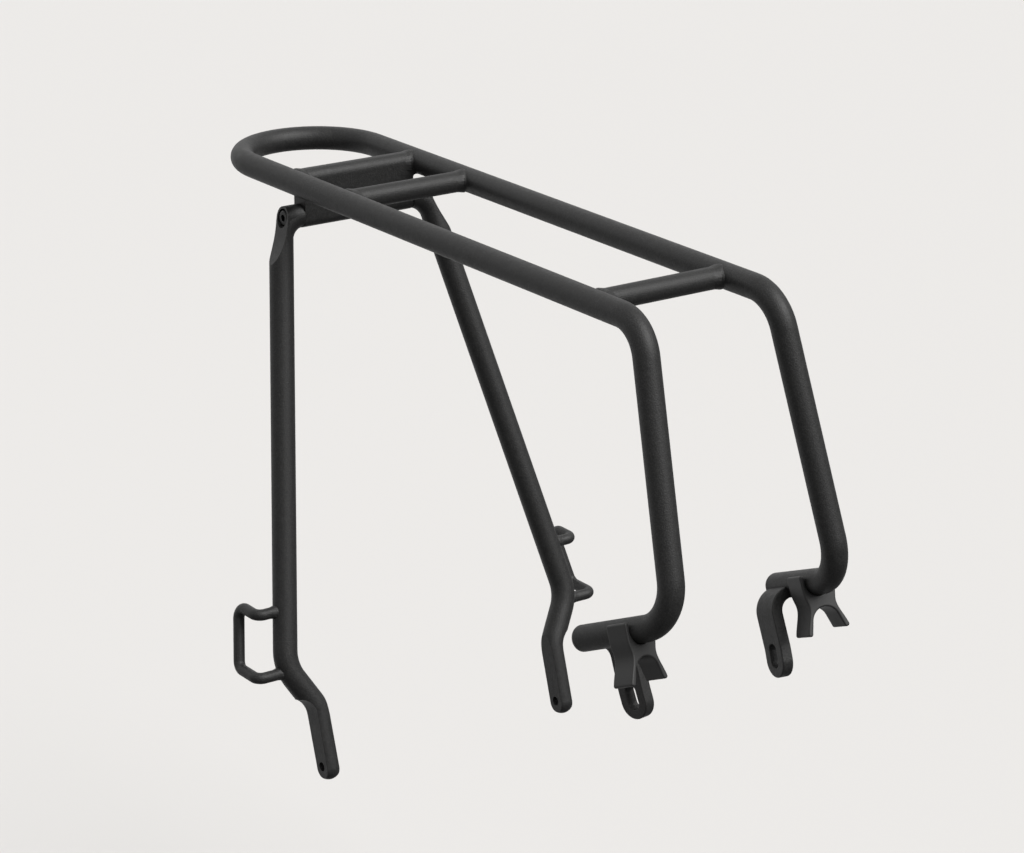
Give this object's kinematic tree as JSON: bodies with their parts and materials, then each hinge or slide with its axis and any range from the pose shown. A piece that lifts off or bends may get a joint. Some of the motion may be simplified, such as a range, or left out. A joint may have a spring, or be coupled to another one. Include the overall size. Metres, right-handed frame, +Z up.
{
  "type": "luggage rack",
  "caption": "Rear luggage rack for a bicycle: tubular hoop deck, fixed front legs with slotted tabs and stay saddles, folding rear legs with foot eyelets and guard loops.",
  "frame": {"origin": "midway between the centres of the two stay tabs' slots, where the rack bolts to the bicycle's seat stays", "axes": "+X forward, along the deck from the hoop's closed end to the front legs; +Y left; +Z up, square to the deck"},
  "size_m": [0.4689, 0.2402, 0.333],
  "materials": {
    "powder_coat": "matte fine-textured powder coat",
    "saddle_plastic": "moulded satin",
    "black_steel": "black oxide",
    "washer_plastic": "plain",
    "bush_plastic": "plain"
  },
  "bodies": {
    "deck": {"deck_hoop": "powder_coat", "middle_cross_bar": "powder_coat", "front_cross_bar": "powder_coat", "rear_beam": "powder_coat", "left_beam_end_block": "powder_coat", "left_front_leg": "powder_coat", "left_stub_cap": "powder_coat", "left_stay_tab": "powder_coat", "left_pivot_bolt": "black_steel", "left_pivot_washer": "washer_plastic", "right_beam_end_block": "powder_coat", "right_front_leg": "powder_coat", "right_stub_cap": "powder_coat", "right_stay_tab": "powder_coat", "right_pivot_bolt": "black_steel", "right_pivot_washer": "washer_plastic"},
    "left_leg": {"left_leg_knuckle": "powder_coat", "left_leg_tube": "powder_coat", "left_leg_foot": "powder_coat", "left_leg_guard": "powder_coat", "left_pivot_bush": "bush_plastic"},
    "left_saddle": {"left_stay_saddle": "saddle_plastic"},
    "right_leg": {"right_leg_knuckle": "powder_coat", "right_leg_tube": "powder_coat", "right_leg_foot": "powder_coat", "right_leg_guard": "powder_coat", "right_pivot_bush": "bush_plastic"},
    "right_saddle": {"right_stay_saddle": "saddle_plastic"}
  },
  "joints": [
    {"name": "left_leg_fold", "type": "hinge", "parent": "deck", "child": "left_leg", "pos_m": [-0.33625, 0.0495, 0.17599], "axis": [0, -1, 0], "range_deg": [-105, 72]},
    {"name": "right_leg_fold", "type": "hinge", "parent": "deck", "child": "right_leg", "pos_m": [-0.33625, -0.0495, 0.17599], "axis": [0, -1, 0], "range_deg": [-105, 72]},
    {"name": "left_saddle_swivel", "type": "hinge", "parent": "deck", "child": "left_saddle", "pos_m": [0.00971, 0.05864, 0.04184], "axis": [-0.9105, 0.1467, -0.3865], "range_deg": [-20, 20]},
    {"name": "right_saddle_swivel", "type": "hinge", "parent": "deck", "child": "right_saddle", "pos_m": [0.00971, -0.05864, 0.04184], "axis": [-0.9105, -0.1467, -0.3865], "range_deg": [-20, 20]}
  ]
}
